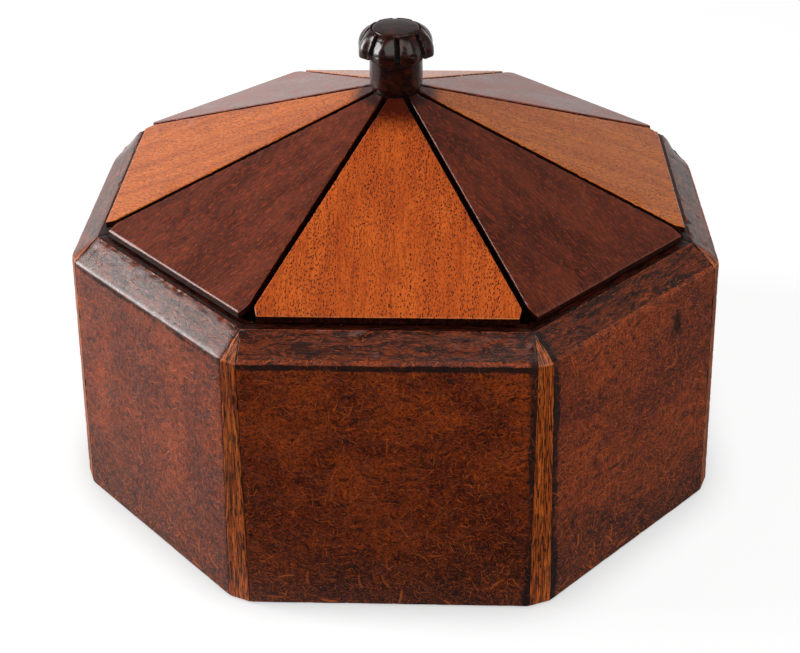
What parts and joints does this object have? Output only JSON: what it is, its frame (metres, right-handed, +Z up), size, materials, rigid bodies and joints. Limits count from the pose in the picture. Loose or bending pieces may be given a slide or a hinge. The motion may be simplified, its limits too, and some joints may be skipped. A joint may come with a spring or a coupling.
{
  "type": "octagonal box with a lift-off lid",
  "caption": "Octagonal wooden keepsake box with a bevelled rim, light corner strips and a lift-off pyramid lid of alternating light and dark boards under a lobed knob.",
  "frame": {"origin": "middle of the box's underside, on the surface it stands on", "axes": "+Z up through the knob, the front wall faces -Y, +X to the right"},
  "size_m": [0.2368, 0.2304, 0.1659],
  "materials": {
    "stave_wood": "polished, figured dark wood",
    "strip_wood": "waxed, open-grained light wood",
    "base_wood": "plain planed wood",
    "core_wood": "dark stained wood",
    "lid_light_wood": "polished, open-pored orange wood",
    "lid_dark_wood": "polished dark red wood",
    "knob_wood": "polished, nearly black turned wood"
  },
  "bodies": {
    "box": {"wall_front": "stave_wood", "wall_front_right": "stave_wood", "wall_right": "stave_wood", "wall_back_right": "stave_wood", "wall_back": "stave_wood", "wall_back_left": "stave_wood", "wall_left": "stave_wood", "wall_front_left": "stave_wood", "corner_strip_1": "strip_wood", "corner_strip_2": "strip_wood", "corner_strip_3": "strip_wood", "corner_strip_4": "strip_wood", "corner_strip_5": "strip_wood", "corner_strip_6": "strip_wood", "corner_strip_7": "strip_wood", "corner_strip_8": "strip_wood", "base_board": "base_wood"},
    "lid": {"lid_core": "core_wood", "lid_locating_board": "core_wood", "lid_board_light_front": "lid_light_wood", "lid_board_dark_front_right": "lid_dark_wood", "lid_board_light_right": "lid_light_wood", "lid_board_dark_back_right": "lid_dark_wood", "lid_board_light_back": "lid_light_wood", "lid_board_dark_back_left": "lid_dark_wood", "lid_board_light_left": "lid_light_wood", "lid_board_dark_front_left": "lid_dark_wood", "knob": "knob_wood"}
  },
  "joints": [
    {"name": "lid_lift", "type": "slide", "parent": "box", "child": "lid", "axis": [0, 0, 1], "range_m": [0, 0.1]}
  ]
}
